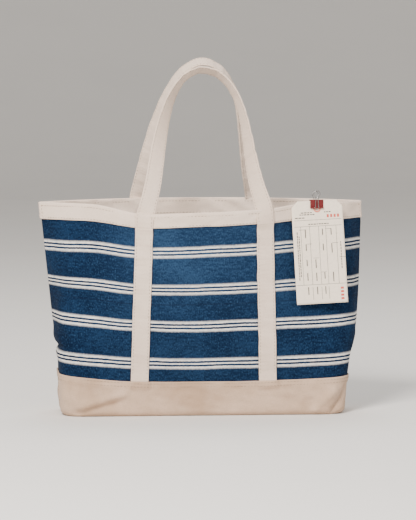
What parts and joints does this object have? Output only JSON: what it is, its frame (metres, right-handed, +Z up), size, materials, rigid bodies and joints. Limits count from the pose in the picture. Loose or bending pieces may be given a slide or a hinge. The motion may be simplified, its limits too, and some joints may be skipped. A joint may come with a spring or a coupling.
{
  "type": "tote bag",
  "caption": "Soft open-topped tote bag in striped cloth with a canvas base, rim band and two strap handles, a paper tag held on the rim by a binder clip.",
  "frame": {"origin": "middle of the bag's flat bottom, on the surface that it stands on", "axes": "+Z up; the front, with the tag, towards -Y; +X to the right as seen from the front"},
  "size_m": [0.47, 0.182, 0.5121],
  "materials": {
    "striped_cloth": "indigo-dyed plain-weave cotton with groups of undyed stripes",
    "canvas": "natural cotton canvas, matt",
    "strap_canvas": "natural cotton canvas, folded and edge-stitched",
    "red_enamel": "gloss red enamel on spring steel",
    "nickel_wire": "nickel-plated wire",
    "card": "uncoated card with printed rules",
    "ring_paper": "gummed paper ring"
  },
  "bodies": {
    "bag_body": {"base_panel": "canvas", "front_panel": "striped_cloth", "back_panel": "striped_cloth", "front_left_strap": "strap_canvas", "front_right_strap": "strap_canvas", "back_left_strap": "strap_canvas", "back_right_strap": "strap_canvas"},
    "rim": {"front_top_band": "canvas", "back_top_band": "canvas", "front_left_strap_top": "strap_canvas", "front_right_strap_top": "strap_canvas", "back_left_strap_top": "strap_canvas", "back_right_strap_top": "strap_canvas"},
    "front_handle": {"front_handle": "strap_canvas"},
    "back_handle": {"back_handle": "strap_canvas"},
    "clip": {"clip_body": "red_enamel", "tag_card": "card", "tag_ring_front": "ring_paper", "tag_ring_back": "ring_paper"},
    "clip_lever_front": {"clip_lever_front": "nickel_wire"},
    "clip_lever_back": {"clip_lever_back": "nickel_wire"}
  },
  "joints": [
    {"name": "wall_slump", "type": "slide", "parent": "bag_body", "child": "rim", "axis": [0, 0, -1], "range_m": [0, 0.08], "deforming": ["front_panel", "back_panel", "front_left_strap", "front_right_strap", "back_left_strap", "back_right_strap"]},
    {"name": "front_handle_swing", "type": "hinge", "parent": "rim", "child": "front_handle", "pos_m": [0, -0.08787, 0.29728], "axis": [1, 0, 0], "range_deg": [0, 175]},
    {"name": "back_handle_swing", "type": "hinge", "parent": "rim", "child": "back_handle", "pos_m": [0, 0.08763, 0.30519], "axis": [-1, 0, 0], "range_deg": [0, 175]},
    {"name": "clip_pull_off", "type": "slide", "parent": "rim", "child": "clip", "axis": [-0.0073, 0.0869, 0.9962], "range_m": [0, 0.03]},
    {"name": "front_lever_fold", "type": "hinge", "parent": "clip", "child": "clip_lever_front", "pos_m": [0.16249, -0.05844, 0.29795], "axis": [0.9964, 0.0842, 0], "range_deg": [0, 160]},
    {"name": "back_lever_fold", "type": "hinge", "parent": "clip", "child": "clip_lever_back", "pos_m": [0.16168, -0.04886, 0.29711], "axis": [-0.9964, -0.0842, 0], "range_deg": [0, 150]}
  ]
}
